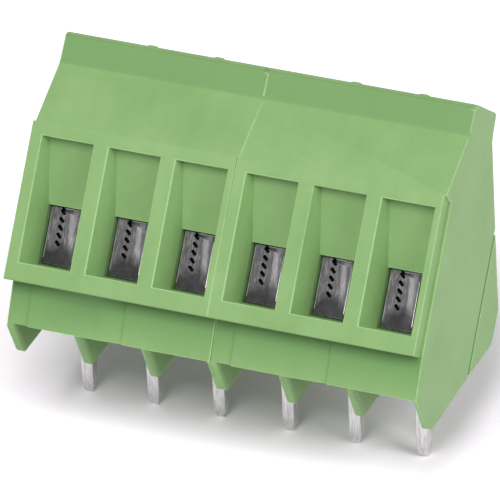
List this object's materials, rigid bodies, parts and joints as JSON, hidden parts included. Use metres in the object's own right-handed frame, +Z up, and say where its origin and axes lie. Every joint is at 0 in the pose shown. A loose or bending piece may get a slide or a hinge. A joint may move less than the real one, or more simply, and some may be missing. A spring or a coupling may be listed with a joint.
{
  "type": "pcb screw terminal",
  "caption": "Angled screw terminal for circuit boards: moulded housings with wire funnels, clamp sleeves raised by screws, and square solder pins.",
  "frame": {"origin": "on the board, at the middle of the line of solder pins, where the two housings meet", "axes": "X runs along the row, Y from the wire side to the rear, Z up from the board"},
  "size_m": [0.0312, 0.0163, 0.0261],
  "materials": {
    "housing": "satin moulded polyamide",
    "tinned": "tin plated",
    "sleeve": "dark passivated",
    "screw": "zinc plated"
  },
  "bodies": {
    "root": {"housing_left": "housing", "housing_right": "housing", "contact_1": "tinned", "contact_2": "tinned", "contact_3": "tinned", "contact_4": "tinned", "contact_5": "tinned", "contact_6": "tinned"},
    "sleeve_1": {"sleeve_1": "sleeve"},
    "sleeve_2": {"sleeve_2": "sleeve"},
    "sleeve_3": {"sleeve_3": "sleeve"},
    "sleeve_4": {"sleeve_4": "sleeve"},
    "sleeve_5": {"sleeve_5": "sleeve"},
    "sleeve_6": {"sleeve_6": "sleeve"},
    "screw_1": {"screw_1": "screw"},
    "screw_2": {"screw_2": "screw"},
    "screw_3": {"screw_3": "screw"},
    "screw_4": {"screw_4": "screw"},
    "screw_5": {"screw_5": "screw"},
    "screw_6": {"screw_6": "screw"}
  },
  "joints": [
    {"name": "screw_turn_1", "type": "hinge", "parent": "root", "child": "screw_1", "pos_m": [-0.01281, 0.00269, 0.0127], "axis": [0, 0.5736, 0.8192], "range_deg": [0, 2880]},
    {"name": "screw_turn_2", "type": "hinge", "parent": "root", "child": "screw_2", "pos_m": [-0.00773, 0.00269, 0.0127], "axis": [0, 0.5736, 0.8192], "range_deg": [0, 2880]},
    {"name": "screw_turn_3", "type": "hinge", "parent": "root", "child": "screw_3", "pos_m": [-0.00265, 0.00269, 0.0127], "axis": [0, 0.5736, 0.8192], "range_deg": [0, 2880]},
    {"name": "screw_turn_4", "type": "hinge", "parent": "root", "child": "screw_4", "pos_m": [0.00265, 0.00269, 0.0127], "axis": [0, 0.5736, 0.8192], "range_deg": [0, 2880]},
    {"name": "screw_turn_5", "type": "hinge", "parent": "root", "child": "screw_5", "pos_m": [0.00773, 0.00269, 0.0127], "axis": [0, 0.5736, 0.8192], "range_deg": [0, 2880]},
    {"name": "screw_turn_6", "type": "hinge", "parent": "root", "child": "screw_6", "pos_m": [0.01281, 0.00269, 0.0127], "axis": [0, 0.5736, 0.8192], "range_deg": [0, 2880]},
    {"name": "sleeve_slide_1", "type": "slide", "parent": "root", "child": "sleeve_1", "axis": [0, -0.5736, -0.8192], "range_m": [0, 0.004]},
    {"name": "sleeve_slide_2", "type": "slide", "parent": "root", "child": "sleeve_2", "axis": [0, -0.5736, -0.8192], "range_m": [0, 0.004]},
    {"name": "sleeve_slide_3", "type": "slide", "parent": "root", "child": "sleeve_3", "axis": [0, -0.5736, -0.8192], "range_m": [0, 0.004]},
    {"name": "sleeve_slide_4", "type": "slide", "parent": "root", "child": "sleeve_4", "axis": [0, -0.5736, -0.8192], "range_m": [0, 0.004]},
    {"name": "sleeve_slide_5", "type": "slide", "parent": "root", "child": "sleeve_5", "axis": [0, -0.5736, -0.8192], "range_m": [0, 0.004]},
    {"name": "sleeve_slide_6", "type": "slide", "parent": "root", "child": "sleeve_6", "axis": [0, -0.5736, -0.8192], "range_m": [0, 0.004]}
  ],
  "couplings": [
    {"joint": "screw_turn_1", "follows": "sleeve_slide_1", "rad_per_m": 12566},
    {"joint": "screw_turn_2", "follows": "sleeve_slide_2", "rad_per_m": 12566},
    {"joint": "screw_turn_3", "follows": "sleeve_slide_3", "rad_per_m": 12566},
    {"joint": "screw_turn_4", "follows": "sleeve_slide_4", "rad_per_m": 12566},
    {"joint": "screw_turn_5", "follows": "sleeve_slide_5", "rad_per_m": 12566},
    {"joint": "screw_turn_6", "follows": "sleeve_slide_6", "rad_per_m": 12566}
  ]
}
